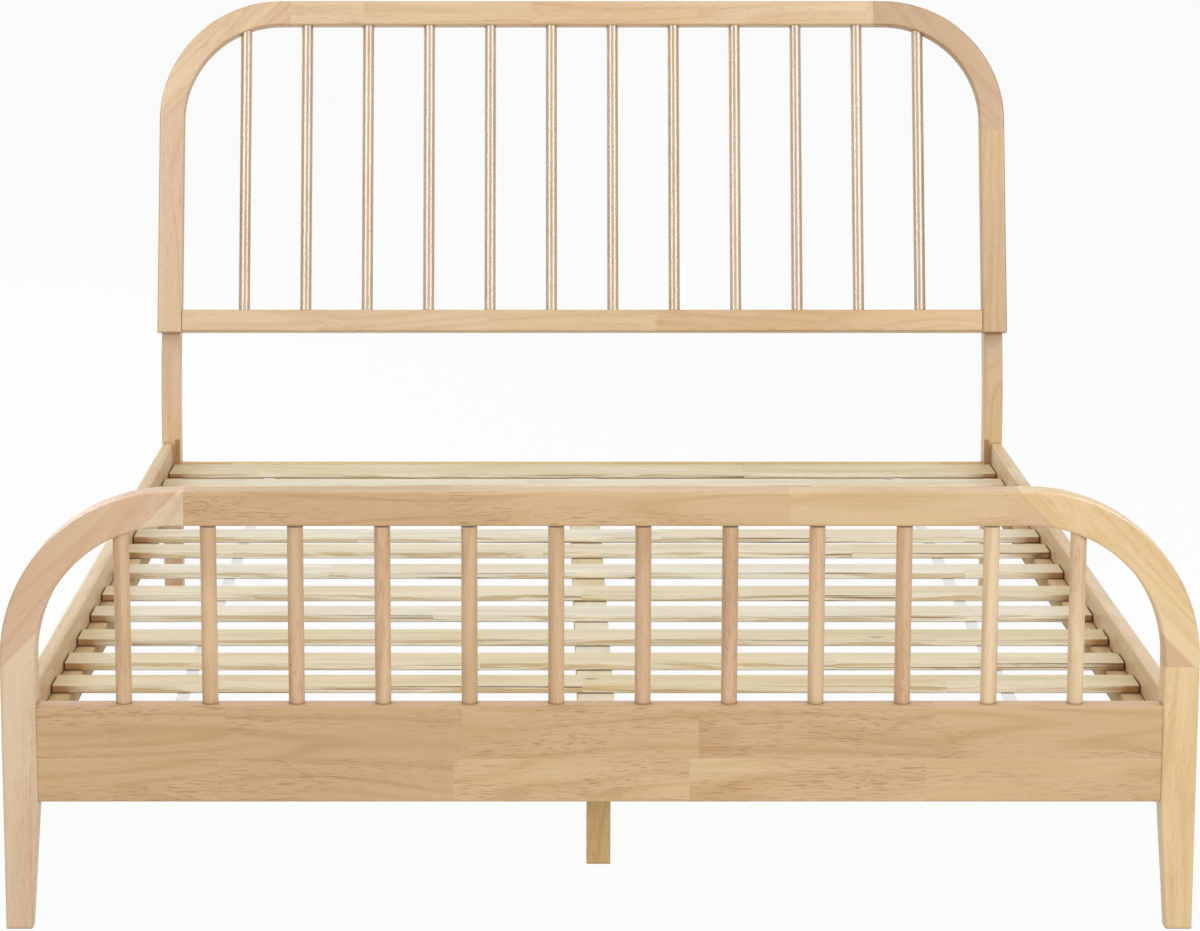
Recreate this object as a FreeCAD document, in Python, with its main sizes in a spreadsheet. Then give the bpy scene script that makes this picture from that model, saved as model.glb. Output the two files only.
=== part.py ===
"""Spindle bed frame: raked headboard, arched footboard, side rails and a slat roll on ledger strips.

Lengths are millimetres. X runs across the bed, Y from the footboard to the headboard and Z up from the floor.
Heights start at the floor. Lengths along the bed start at the footboard's front face and are moved, when a
piece is placed, so that the origin lies on the floor under the middle of the whole bed.
"""
import FreeCAD
import Part
import Sketcher

import math
import os
import re

SPINDLES = 12
REGULAR_SLATS = 13
CENTRE_LEGS = 3
PANEL_BOLTS = 3
SLAT_DRIFTS = {3: 1, 4: -1, 5: -1, 7: -0.75, 8: 1, 9: 2, 10: -1.25}  # in units, towards the head

SIZES = {
    # Whole frame
    "frame_width": (1598, "outside width over posts, head legs and side rails"),
    "frame_length": (2097, "front face of the footboard to front face of the head legs"),
    "edge_round": (4, "rounding along the edges of both boards"),
    "corner_radius": (230, "outer radius of the boards' corners"),
    "corner_run": (18, "straight end of a corner block, beside the top rail"),
    # Footboard
    "foot_height": (600, "top of the footboard"),
    "foot_depth": (42, "thickness of the footboard's arch and posts"),
    "foot_member": (47, "width of posts, height of the top rail"),
    "foot_corner_drop": (8, "straight end of a corner block, above the post"),
    "foot_rail_floor": (175.5, "underside of the lower rail, where the legs start to taper"),
    "foot_rail_height": (133, "lower rail height"),
    "foot_rail_thick": (31, "lower rail thickness"),
    "foot_rail_setback": (3, "lower rail behind the posts' front faces"),
    "toe_width": (35.5, "width of a front leg at the floor"),
    "toe_depth": (30, "depth of a front leg at the floor"),
    # Headboard
    "panel_overhang": (6, "headboard panel past the frame's width, each side"),
    "panel_height": (638, "headboard panel height, along the rake"),
    "panel_depth": (27, "headboard panel thickness"),
    "panel_lift": (112, "bend of the head legs to the panel's lower edge, along the rake"),
    "head_member": (47, "width of stiles, height of the top rail"),
    "head_corner_drop": (20, "straight end of a corner block, above the stile"),
    "head_rail_height": (42, "height of the panel's lower rail"),
    "rake_angle": (16, "rake of the headboard, in degrees"),
    "head_leg_width": (34.5, "head leg thickness across the bed"),
    "head_leg_depth": (48, "head leg depth along the bed"),
    "head_leg_bend": (390, "height of the bend in a head leg's front face"),
    "head_leg_margin": (30, "top of a head leg below the upper end of its stile"),
    "head_leg_round": (3, "rounding along the head legs' edges"),
    "head_leg_ease": (600, "radius of the bend in a head leg's faces"),
    # Spindles
    "spindle_diameter": (21.5, "spindle diameter"),
    "spindle_tenon": (12, "depth of a spindle in its socket"),
    "spindle_play": (0.15, "radial play of a spindle in its socket"),
    # Side rails, ledgers and cross rail
    "side_rail_top": (291, "top of the side rails"),
    "side_rail_height": (130, "side rail height"),
    "side_rail_thick": (21, "side rail thickness"),
    "side_rail_round": (6, "rounding along the side rails' edges"),
    "ledger_width": (28, "ledger strip width"),
    "ledger_height": (34, "ledger strip height"),
    "cross_rail_thick": (22, "cross rail thickness"),
    "cross_rail_height": (86, "cross rail height"),
    "cross_rail_drop": (3.5, "top of the slats to top of the cross rail"),
    "cross_rail_setback": (6, "cross rail behind the head legs' front faces"),
    # Slat roll
    "slat_drop": (37, "top of the side rails to top of the slats"),
    "slat_thick": (12, "slat thickness"),
    "slat_width": (64, "slat width"),
    "slat_round": (2, "rounding along the slats' edges"),
    "slat_end_play": (2.5, "slat end to side rail"),
    "slat_foot_gap": (3, "footboard post to first slat"),
    "foot_slat_gap": (66, "first slat to the second one"),
    "slat_drift": (8, "unit of the slats' drift from even spacing"),
    "head_slat_width": (95, "width of the slat at the head"),
    "head_slat_thick": (9, "thickness of the slat at the head"),
    "head_slat_gap": (69, "last regular slat to the slat at the head"),
    "head_slat_play": (1, "slat at the head to the leg plates"),
    "strap_width": (18, "webbing width"),
    "strap_thick": (1.2, "webbing thickness"),
    "strap_offset": (588, "middle of the bed to the middle of a strap"),
    # Centre support
    "centre_rail_width": (52, "centre rail width"),
    "centre_rail_height": (40, "centre rail height"),
    "centre_leg_side": (34, "side of the square centre legs"),
    "centre_leg_shift": (4, "centre legs off the middle of the bed"),
    "centre_leg_inset": (303, "footboard's front face to the first centre leg"),
    "seat_length": (38, "length of a centre rail seat, under the rail"),
    "seat_drop": (24, "height of a centre rail seat, on the face that carries it"),
    "seat_width": (40, "width of a centre rail seat"),
    # Steel plates and brackets
    "steel_thick": (3, "thickness of plates and brackets"),
    "plate_width": (8, "width of the strip on a head leg"),
    "plate_height": (107, "height of the strip on a head leg"),
    "plate_rise": (6, "top of the strip above the side rail"),
    "plate_inset": (0.5, "strip from the inner edge of a head leg"),
    "bracket_reach": (40, "length of a foot bracket along the side rail"),
    "bracket_margin": (4, "foot bracket from the ledger strip, and from the side rail's underside"),
    # Bolts and screws
    "bolt_play": (0.2, "radial play of bolts, screws and nuts in their holes"),
    "panel_bolt_radius": (3, "radius of the bolts that hold the panel"),
    "panel_bolt_bite": (18, "depth of those bolts in the stiles"),
    "panel_bolt_inset": (50, "end of the lap between panel and head leg to the first bolt"),
    "rail_bolt_radius": (4, "radius of the bolts between head legs and side rails"),
    "rail_bolt_bite": (52, "depth of those bolts in the rails"),
    "rail_bolt_inset": (12, "underside of the rail to the lower bolt"),
    "rail_bolt_pitch": (24, "spacing of the rail bolts"),
    "nut_radius": (6, "barrel nut radius"),
    "nut_length": (15, "barrel nut length"),
    "nut_inset": (36, "end of the rail to the middle of a barrel nut"),
    "bolt_head_radius": (8, "radius of the bolt heads"),
    "bolt_head_height": (4, "height of the bolt heads"),
    "screw_radius": (2, "radius of the screws in brackets and seats"),
    "screw_bite": (14, "depth of those screws in the wood"),
    "screw_head_radius": (3.5, "radius of the screw heads"),
    "screw_head_height": (2.5, "height of the screw heads"),
}

# Formulas that several pieces share, in terms of the sizes
HALF_WIDTH = "(frame_width / 2)"
PANEL_WIDTH = "(frame_width + 2 * panel_overhang)"
SLAT_TOP = "(side_rail_top - slat_drop)"
BED_CENTRE = ("((frame_length + (panel_lift + panel_height - edge_round) * sin(rake_angle)"
              " + edge_round * (1 - cos(rake_angle))) / 2)")
FOOT_RAIL_TOP = "(foot_rail_floor + foot_rail_height)"
FOOT_RAIL_BACK = "(foot_rail_setback + foot_rail_thick)"
POST_INNER = f"({HALF_WIDTH} - foot_member)"
LEG_INNER = f"({HALF_WIDTH} - head_leg_width)"
STILE_LENGTH = "(panel_height - corner_radius - head_corner_drop)"
LEG_RISE = f"(panel_lift + {STILE_LENGTH} - head_leg_margin)"
RAIL_INNER = f"({HALF_WIDTH} - side_rail_thick)"
RAIL_FLOOR = "(side_rail_top - side_rail_height)"
LEDGER_TOP = f"({SLAT_TOP} - slat_thick)"
LEDGER_FLOOR = f"({LEDGER_TOP} - ledger_height)"
CROSS_RAIL_FRONT = "(frame_length + cross_rail_setback)"
PLATE_FRONT = "(frame_length - steel_thick)"
HEAD_SLAT_BACK = f"({PLATE_FRONT} - head_slat_play)"
FIRST_SLAT = "(foot_depth + slat_foot_gap)"
SECOND_SLAT = f"({FIRST_SLAT} + slat_width + foot_slat_gap)"
LAST_REGULAR_SLAT = f"({HEAD_SLAT_BACK} - head_slat_width - head_slat_gap - slat_width)"
SLAT_LENGTH = f"(2 * ({RAIL_INNER} - slat_end_play))"
CENTRE_RAIL_FLOOR = f"({LEDGER_TOP} - centre_rail_height)"
BRACKET_FLOOR = f"({RAIL_FLOOR} + bracket_margin)"
BRACKET_HEIGHT = f"({LEDGER_FLOOR} - bracket_margin - {BRACKET_FLOOR})"
SCREW = ("screw_radius", "steel_thick + screw_bite", "screw_head_radius", "screw_head_height")

doc = FreeCAD.newDocument("SpindleBed")
sheet = doc.addObject("Spreadsheet::Sheet", "Sizes")
for row, (alias, (number, note)) in enumerate(SIZES.items(), start=1):
    sheet.set(f"A{row}", alias)
    sheet.set(f"B{row}", str(number))
    sheet.set(f"C{row}", note)
    sheet.setAlias(f"B{row}", alias)
doc.recompute()

nodes = []


def formula(text):
    """Point each size in a formula at its cell of the sheet."""
    return re.sub(r"[a-z_]+", lambda word: f"Sizes.{word[0]}" if word[0] in SIZES else word[0], text)


def bind(item, **properties):
    """Tie properties of an object to formulas; a double underscore stands for a dot."""
    for name, text in properties.items():
        item.setExpression(name.replace("__", "."), formula(str(text)))


def locate(item, x, y, z):
    """Put an object at formulas for X, Y and Z, in its own frame."""
    bind(item, Placement__Base__x=x, Placement__Base__y=y, Placement__Base__z=z)


def place(item, x, y, z):
    """Put a piece in the bed; y is measured from the footboard's front face."""
    locate(item, x, f"({y}) - {BED_CENTRE}", z)
    return item


def place_raked(item, x, y, z):
    """Put a piece on the raked headboard; y is in front of the legs, and z along the rake from their bend."""
    item.Placement = FreeCAD.Placement(FreeCAD.Vector(), FreeCAD.Rotation(FreeCAD.Vector(-1, 0, 0), 1))
    bind(item, Placement__Rotation__Angle="rake_angle")
    along = f"({z}) * sin(rake_angle) + ({y}) * cos(rake_angle)"
    up = f"({z}) * cos(rake_angle) - ({y}) * sin(rake_angle)"
    return place(item, x, f"frame_length + {along}", f"head_leg_bend + {up}")


def node(item, label):
    """Name a finished piece and list it for export."""
    item.Label = label
    nodes.append(item)
    return item


def origin_feature(body, role):
    """Return a plane or axis of a body's own origin."""
    return next(feature for feature in body.Origin.OriginFeatures if feature.Role == role)


def outline(body, plane, points):
    """Draw a closed outline on one of a body's planes, each point dimensioned from the body's origin."""
    sketch = body.newObject("Sketcher::SketchObject", "Outline")
    sketch.AttachmentSupport = [(origin_feature(body, plane), "")]
    sketch.MapMode = "FlatFace"
    count = len(points)
    turns = [2 * math.pi * index / count for index in range(count)]
    ring = [FreeCAD.Vector(math.cos(turn), math.sin(turn), 0) * 50 for turn in turns]
    for index in range(count):
        sketch.addGeometry(Part.LineSegment(ring[index], ring[(index + 1) % count]), False)
    for index in range(count):
        sketch.addConstraint(Sketcher.Constraint("Coincident", index, 2, (index + 1) % count, 1))
    for index, (across, up) in enumerate(points):
        for kind, text, axis in (("DistanceX", across, -2), ("DistanceY", up, -1)):
            if text == "0":
                sketch.addConstraint(Sketcher.Constraint("PointOnObject", index, 1, axis))
                continue
            dimension = sketch.addConstraint(Sketcher.Constraint(kind, -1, 1, index, 1, 50))
            bind(sketch, **{f"Constraints[{dimension}]": text})
    return sketch


def rounded_section(body, level, across, depth):
    """Draw a level rectangle with rounded corners: across is both ends in X, and Y runs from 0 to a depth."""
    sketch = body.newObject("Sketcher::SketchObject", "Section")
    sketch.AttachmentSupport = [(origin_feature(body, "XY_Plane"), "")]
    sketch.MapMode = "FlatFace"
    bind(sketch, AttachmentOffset__Base__z=level)
    lows = (f"{across[0]} + edge_round", "edge_round")
    highs = (f"{across[1]} - edge_round", f"{depth} - edge_round")
    centres = [(lows[0], lows[1]), (highs[0], lows[1]), (highs[0], highs[1]), (lows[0], highs[1])]
    upward = FreeCAD.Vector(0, 0, 1)
    spots = [FreeCAD.Vector(10, 10), FreeCAD.Vector(40, 10), FreeCAD.Vector(40, 40), FreeCAD.Vector(10, 40)]
    for index, spot in enumerate(spots):
        first = math.pi + index * math.pi / 2
        arc = Part.ArcOfCircle(Part.Circle(spot, upward, 5), first, first + math.pi / 2)
        sketch.addGeometry(arc, False)
    arcs = [sketch.Geometry[index] for index in range(4)]
    for index in range(4):
        line = Part.LineSegment(arcs[index].EndPoint, arcs[(index + 1) % 4].StartPoint)
        sketch.addGeometry(line, False)
    for index in range(4):
        sketch.addConstraint(Sketcher.Constraint("Tangent", index, 2, index + 4, 1))
        sketch.addConstraint(Sketcher.Constraint("Tangent", index + 4, 2, (index + 1) % 4, 1))
    for index, (middle_x, middle_y) in enumerate(centres):
        for kind, text in (("DistanceX", middle_x), ("DistanceY", middle_y)):
            dimension = sketch.addConstraint(Sketcher.Constraint(kind, -1, 1, index, 3, 10))
            bind(sketch, **{f"Constraints[{dimension}]": text})
        dimension = sketch.addConstraint(Sketcher.Constraint("Radius", index, 5))
        bind(sketch, **{f"Constraints[{dimension}]": "edge_round"})
    return sketch


def new_body(name):
    """Start a PartDesign body."""
    return doc.addObject("PartDesign::Body", name)


def additive_box(body, corner, size):
    """Add a block to a body: corner and size as formulas for X, Y and Z."""
    block = body.newObject("PartDesign::AdditiveBox", "Block")
    bind(block, Length=size[0], Width=size[1], Height=size[2])
    locate(block, *corner)
    return block


def round_edges(body, radius, chosen):
    """Round the edges of a body that pass a test."""
    doc.recompute()
    base = body.Tip
    names = [f"Edge{index}" for index, edge in enumerate(base.Shape.Edges, start=1) if chosen(edge)]
    fillet = body.newObject("PartDesign::Fillet", "Rounding")
    fillet.Base = (base, names)
    bind(fillet, Radius=radius)
    return body


def runs_along(axis):
    """Return a test for edges that run along X, Y or Z."""
    def chosen(edge):
        box = edge.BoundBox
        spans = {"x": box.XLength, "y": box.YLength, "z": box.ZLength}
        return spans[axis] > 0.999 * edge.Length
    return chosen


def board(name, size, axis, radius):
    """Make a plain board, rounded along its long edges."""
    body = new_body(name)
    additive_box(body, ("0", "0", "0"), size)
    return round_edges(body, radius, runs_along(axis))


def box(name, size):
    """Make a plain block with sharp edges."""
    block = doc.addObject("Part::Box", name)
    bind(block, Length=size[0], Width=size[1], Height=size[2])
    return block


def cylinder(name, radius, length):
    """Make a cylinder along Z."""
    rod = doc.addObject("Part::Cylinder", name)
    bind(rod, Radius=radius, Height=length)
    return rod


def turn(item, axis, degrees):
    """Turn an object about an axis through its own origin."""
    item.Placement = FreeCAD.Placement(item.Placement.Base, FreeCAD.Rotation(FreeCAD.Vector(*axis), degrees))
    return item


def group(name, pieces):
    """Hold several solids as one object."""
    compound = doc.addObject("Part::Compound", name)
    compound.Links = pieces
    return compound


def fused(base, tool, name):
    """Join two blocks into one solid."""
    result = doc.addObject("Part::Fuse", name)
    result.Base = base
    result.Tool = tool
    return result


def mirrored(source, name):
    """Make the left-hand copy of a right-hand piece."""
    mirror = doc.addObject("Part::Mirroring", name)
    mirror.Source = source
    mirror.Normal = FreeCAD.Vector(1, 0, 0)
    return mirror


def both_sides(right, label):
    """Join a right-hand group and its left-hand copy as one node."""
    return node(group(label, [right, mirrored(right, f"{label}_left")]), label)


def pair(right, label):
    """Make a right-hand and a left-hand node from one piece."""
    node(right, f"{label}_right")
    node(mirrored(right, f"{label}_left"), f"{label}_left")


def cut(base, tools, name):
    """Cut holes or sockets into a piece."""
    result = doc.addObject("Part::Cut", name)
    result.Base = base
    result.Tool = tools[0] if len(tools) == 1 else group(f"{name}_tools", tools)
    return result


def corner_block(name, depth, member, drop):
    """Make a right-hand corner: a quarter ring about the body's origin with a straight run at each end."""
    inner = f"(corner_radius - {member})"
    body = new_body(name)
    outer = "corner_radius"
    section = outline(body, "XY_Plane", [(inner, "0"), (outer, "0"), (outer, depth), (inner, depth)])
    ring = body.newObject("PartDesign::Revolution", "Bend")
    ring.Profile = section
    ring.ReferenceAxis = (origin_feature(body, "Y_Axis"), [""])
    ring.Angle = 90
    ring.Reversed = True
    additive_box(body, ("-corner_run", "0", inner), ("corner_run", depth, member))
    additive_box(body, (inner, "0", f"-{drop}"), (member, depth, drop))

    def follows_the_bend(edge):
        bounds = edge.BoundBox
        flat = bounds.YLength < 0.001
        at_run_end = bounds.XMax < -0.001 and bounds.XLength < 0.001
        at_drop_end = bounds.ZMax < -0.001 and bounds.ZLength < 0.001
        return flat and not at_run_end and not at_drop_end

    return round_edges(body, "edge_round", follows_the_bend)


def spindle_rods(name, width, levels, radius, extra):
    """Make a row of upright rods, evenly spaced across a width; the outermost two end at the third level."""
    bottom, top, outer_top = levels
    pitch = f"({width} / {SPINDLES + 1})"
    rods = []
    for index in range(SPINDLES):
        upper = outer_top if index in (0, SPINDLES - 1) else top
        length = f"({upper}) - ({bottom}) + 2 * (spindle_tenon + {extra})"
        rod = cylinder(f"{name}_{index + 1}", radius, length)
        locate(rod, f"({index} - {SPINDLES - 1} / 2) * {pitch}", "0", f"({bottom}) - spindle_tenon - {extra}")
        rods.append(rod)
    return group(name, rods)


def spindle_row(label, width, bottom, top, member):
    """Make the spindles of a board and their sockets: width between the posts, rail top and board top."""
    across = f"({width} / 2 * {SPINDLES - 1} / {SPINDLES + 1} - ({width} / 2 + {member} - corner_radius))"
    arch = f"{top} - corner_radius + sqrt((corner_radius - {member}) ^ 2 - {across} ^ 2)"
    levels = (bottom, f"{top} - {member}", arch)
    rods = spindle_rods(label, width, levels, "spindle_diameter / 2", "0")
    socket_radius = "spindle_diameter / 2 + spindle_play"
    sockets = spindle_rods(f"{label}_sockets", width, levels, socket_radius, "spindle_play")
    return node(rods, label), sockets


def fixings(name, spots, axis, degrees, sizes):
    """Make headed bolts that point the same way, and the tool for their holes.

    Each spot is where the underside of a head sits; sizes are the shank's radius and length, then the head's.
    """
    radius, length, head_radius, head_height = sizes
    bolts = []
    holes = []
    for index, spot in enumerate(spots, start=1):
        shank = turn(cylinder(f"{name}_shank_{index}", radius, length), axis, degrees)
        head = turn(cylinder(f"{name}_head_{index}", head_radius, head_height), axis, degrees + 180)
        hole = cylinder(f"{name}_hole_{index}", f"{radius} + bolt_play", f"{length} + bolt_play")
        turn(hole, axis, degrees)
        for item in (shank, head, hole):
            locate(item, *spot)
        bolts.append(fused(shank, head, f"{name}_{index}"))
        holes.append(hole)
    return group(name, bolts), group(f"{name}_holes", holes)


def footboard():
    """Build the arched footboard: posts in one with tapered legs, corner blocks, rails and spindles."""
    middle = "foot_depth / 2"
    top = "foot_height - foot_member"
    width = f"(2 * {POST_INNER})"
    spindles, sockets = spindle_row("footboard_spindles", width, FOOT_RAIL_TOP, "foot_height", "foot_member")
    for item in (spindles, sockets):
        place(item, "0", middle, "0")

    span = "(frame_width - 2 * corner_radius - 2 * corner_run)"
    top_rail = board("FootTopRail", (span, "foot_depth", "foot_member"), "x", "edge_round")
    place(top_rail, f"-{span} / 2", "0", top)
    node(cut(top_rail, [sockets], "footboard_top_rail"), "footboard_top_rail")

    corner = corner_block("FootCorner", "foot_depth", "foot_member", "foot_corner_drop")
    place(corner, f"{HALF_WIDTH} - corner_radius", "0", "foot_height - corner_radius")
    pair(cut(corner, [sockets], "footboard_corner"), "footboard_corner")

    lower_rail = board("FootLowerRail", (width, "foot_rail_thick", "foot_rail_height"), "x", "edge_round")
    place(lower_rail, f"-{POST_INNER}", "foot_rail_setback", "foot_rail_floor")
    return front_leg(), cut(lower_rail, [sockets], "FootLowerRailSockets")


def front_leg():
    """Build the right-hand post, whose leg tapers in width and depth below the lower rail."""
    body = new_body("FootLeg")
    toe = rounded_section(body, "0", ("foot_member - toe_width", "foot_member"), "toe_depth")
    knee = rounded_section(body, "foot_rail_floor", ("0", "foot_member"), "foot_depth")
    post_top = "foot_height - corner_radius - foot_corner_drop"
    top = rounded_section(body, post_top, ("0", "foot_member"), "foot_depth")
    leg = body.newObject("PartDesign::AdditiveLoft", "TaperedPost")
    leg.Profile = toe
    leg.Sections = [knee, top]
    leg.Ruled = True
    return place(body, POST_INNER, "0", "0")


def headboard():
    """Build the raked headboard panel."""
    panel_top = "(panel_lift + panel_height)"
    rail_top = "(panel_lift + head_rail_height)"
    front = "-panel_depth"
    inner = f"({PANEL_WIDTH} / 2 - head_member)"
    width = f"(2 * {inner})"
    spindles, sockets = spindle_row("headboard_spindles", width, rail_top, panel_top, "head_member")
    for item in (spindles, sockets):
        place_raked(item, "0", f"{front} / 2", "0")

    span = f"({PANEL_WIDTH} - 2 * corner_radius - 2 * corner_run)"
    top_rail = board("HeadTopRail", (span, "panel_depth", "head_member"), "x", "edge_round")
    place_raked(top_rail, f"-{span} / 2", front, f"{panel_top} - head_member")
    node(cut(top_rail, [sockets], "headboard_top_rail"), "headboard_top_rail")

    corner = corner_block("HeadCorner", "panel_depth", "head_member", "head_corner_drop")
    place_raked(corner, f"{PANEL_WIDTH} / 2 - corner_radius", front, f"{panel_top} - corner_radius")
    pair(cut(corner, [sockets], "headboard_corner"), "headboard_corner")

    lower_rail = board("HeadLowerRail", (width, "panel_depth", "head_rail_height"), "x", "edge_round")
    place_raked(lower_rail, f"-{inner}", front, "panel_lift")
    node(cut(lower_rail, [sockets], "headboard_lower_rail"), "headboard_lower_rail")

    stile = board("HeadStile", ("head_member", "panel_depth", STILE_LENGTH), "z", "edge_round")
    return place_raked(stile, inner, front, "panel_lift")


def head_leg():
    """Build the right-hand head leg: upright to its bend, raked above."""
    rise_along = f"{LEG_RISE} * sin(rake_angle)"
    rise_up = f"head_leg_bend + {LEG_RISE} * cos(rake_angle)"
    body = new_body("HeadLeg")
    side = outline(body, "YZ_Plane", [
        ("0", "0"),
        ("head_leg_depth", "0"),
        ("head_leg_depth", "head_leg_bend - head_leg_depth * tan(rake_angle / 2)"),
        (f"{rise_along} + head_leg_depth * cos(rake_angle)", f"{rise_up} - head_leg_depth * sin(rake_angle)"),
        (rise_along, rise_up),
        ("0", "head_leg_bend"),
    ])
    pad = body.newObject("PartDesign::Pad", "Leg")
    pad.Profile = side
    bind(pad, Length="head_leg_width")

    across = runs_along("x")

    def at_the_bend(edge):
        return across(edge) and 0.5 < edge.CenterOfMass.z / sheet.get("head_leg_bend") < 1.1

    def along_the_leg(edge):
        return edge.BoundBox.XLength < 0.001 and edge.BoundBox.ZLength > 0.5 * edge.Length

    round_edges(body, "head_leg_ease", at_the_bend)
    round_edges(body, "head_leg_round", along_the_leg)
    return place(body, LEG_INNER, "frame_length", "0")


def panel_fixings(leg, stile):
    """Bolt the panel's stile to the leg behind it; return the drilled leg and stile."""
    middle = f"({HALF_WIDTH} - head_leg_width / 2)"
    lowest = "(panel_lift + panel_bolt_inset)"
    highest = f"({LEG_RISE} - panel_bolt_inset)"
    pitch = f"({highest} - {lowest}) / {PANEL_BOLTS - 1}"
    spots = [(middle, "head_leg_depth", f"{lowest} + {index} * {pitch}") for index in range(PANEL_BOLTS)]
    sizes = ("panel_bolt_radius", "head_leg_depth + panel_bolt_bite", "bolt_head_radius", "bolt_head_height")
    bolts, holes = fixings("panel_bolt", spots, (1, 0, 0), 90, sizes)
    for item in (bolts, holes):
        place_raked(item, "0", "0", "0")
    both_sides(bolts, "panel_bolts")
    return cut(leg, [holes], "HeadLegPanelHoles"), cut(stile, [holes], "headboard_stile")


def rail_fixings(leg, rail):
    """Bolt the side rail to the head leg with barrel nuts; return the drilled leg and rail."""
    middle = f"({HALF_WIDTH} - side_rail_thick / 2)"
    levels = [f"{RAIL_FLOOR} + rail_bolt_inset + {index} * rail_bolt_pitch" for index in range(2)]
    spots = [(middle, "head_leg_depth", level) for level in levels]
    sizes = ("rail_bolt_radius", "head_leg_depth + rail_bolt_bite", "bolt_head_radius", "bolt_head_height")
    bolts, holes = fixings("rail_bolt", spots, (1, 0, 0), 90, sizes)
    nuts = []
    sockets = []
    for index, level in enumerate(levels, start=1):
        nut = turn(cylinder(f"nut_{index}", "nut_radius", "nut_length"), (0, 1, 0), 90)
        socket = cylinder(f"nut_socket_{index}", "nut_radius + bolt_play", "nut_length + bolt_play")
        turn(socket, (0, 1, 0), 90)
        for item in (nut, socket):
            locate(item, RAIL_INNER, "-nut_inset", level)
        nuts.append(nut)
        sockets.append(socket)
    nut_group = group("nuts_uncut", nuts)
    socket_group = group("nut_sockets", sockets)
    for item in (bolts, holes, nut_group, socket_group):
        place(item, "0", "frame_length", "0")
    both_sides(bolts, "rail_bolts")
    both_sides(cut(nut_group, [holes], "nuts_drilled"), "barrel_nuts")
    return cut(leg, [holes], "head_leg"), cut(rail, [holes, socket_group], "SideRailHeadHoles")


def foot_bracket_fixings(post, rail):
    """Join side rail and footboard post with an angle bracket; return the drilled post and rail."""
    flange = f"({RAIL_INNER} - {POST_INNER})"
    on_post = box("bracket_on_post", (flange, "steel_thick", BRACKET_HEIGHT))
    on_rail = box("bracket_on_rail", ("steel_thick", "bracket_reach", BRACKET_HEIGHT))
    place(on_post, POST_INNER, "foot_depth", BRACKET_FLOOR)
    place(on_rail, f"{RAIL_INNER} - steel_thick", "foot_depth", BRACKET_FLOOR)
    angle = fused(on_post, on_rail, "bracket_angle")

    levels = [f"{BRACKET_FLOOR} + {BRACKET_HEIGHT} * {share}" for share in ("2 / 5", "4 / 5")]
    post_x = f"{POST_INNER} + ({flange} - steel_thick) / 2"
    post_spots = [(post_x, "foot_depth + steel_thick", level) for level in levels]
    rail_y = "foot_depth + steel_thick + (bracket_reach - steel_thick) * 2 / 3"
    rail_spots = [(f"{RAIL_INNER} - steel_thick", rail_y, level) for level in levels]
    post_screws, post_holes = fixings("post_screw", post_spots, (1, 0, 0), 90, SCREW)
    rail_screws, rail_holes = fixings("rail_screw", rail_spots, (0, 1, 0), 90, SCREW)
    for item in (post_screws, post_holes, rail_screws, rail_holes):
        place(item, "0", "0", "0")
    both_sides(group("foot_screws", [post_screws, rail_screws]), "bracket_screws")
    both_sides(cut(angle, [post_holes, rail_holes], "bracket_drilled"), "foot_brackets")
    return cut(post, [post_holes], "footboard_leg"), cut(rail, [rail_holes], "side_rail")


def side_rail():
    """Build the right-hand side rail, between post and head leg."""
    size = ("side_rail_thick", "frame_length - foot_depth", "side_rail_height")
    rail = board("SideRail", size, "y", "side_rail_round")
    return place(rail, RAIL_INNER, "foot_depth", RAIL_FLOOR)


def ledgers_and_plates():
    """Build the ledger strips and the steel strips on the head legs' faces."""
    length = f"{PLATE_FRONT} - foot_depth"
    ledger = board("Ledger", ("ledger_width", length, "ledger_height"), "y", "slat_round")
    pair(place(ledger, f"{RAIL_INNER} - ledger_width", "foot_depth", LEDGER_FLOOR), "ledger")
    plate = box("plate", ("plate_width", "steel_thick", "plate_height"))
    place(plate, f"{LEG_INNER} + plate_inset", PLATE_FRONT, "side_rail_top + plate_rise - plate_height")
    both_sides(plate, "head_leg_plates")


def slat_roll():
    """Build the slats and the two webbing straps that tie them together from below."""
    steps = REGULAR_SLATS - 2
    pitch = f"(({LAST_REGULAR_SLAT} - {SECOND_SLAT}) / {steps})"
    slats = [(FIRST_SLAT, "slat_width", "slat_thick")]
    for index in range(2, REGULAR_SLATS + 1):
        front = f"{SECOND_SLAT} + {index - 2} * {pitch} + {SLAT_DRIFTS.get(index, 0)} * slat_drift"
        slats.append((front, "slat_width", "slat_thick"))
    slats.append((f"{HEAD_SLAT_BACK} - head_slat_width", "head_slat_width", "head_slat_thick"))
    for index, (front, width, thick) in enumerate(slats, start=1):
        slat = board(f"Slat{index}", (SLAT_LENGTH, width, thick), "x", "slat_round")
        node(place(slat, f"-{SLAT_LENGTH} / 2", front, LEDGER_TOP), f"slat_{index:02d}")
    strap = box("strap", ("strap_width", f"{HEAD_SLAT_BACK} - {FIRST_SLAT}", "strap_thick"))
    place(strap, "strap_offset - strap_width / 2", FIRST_SLAT, f"{LEDGER_TOP} - strap_thick")
    pair(strap, "slat_strap")


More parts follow.
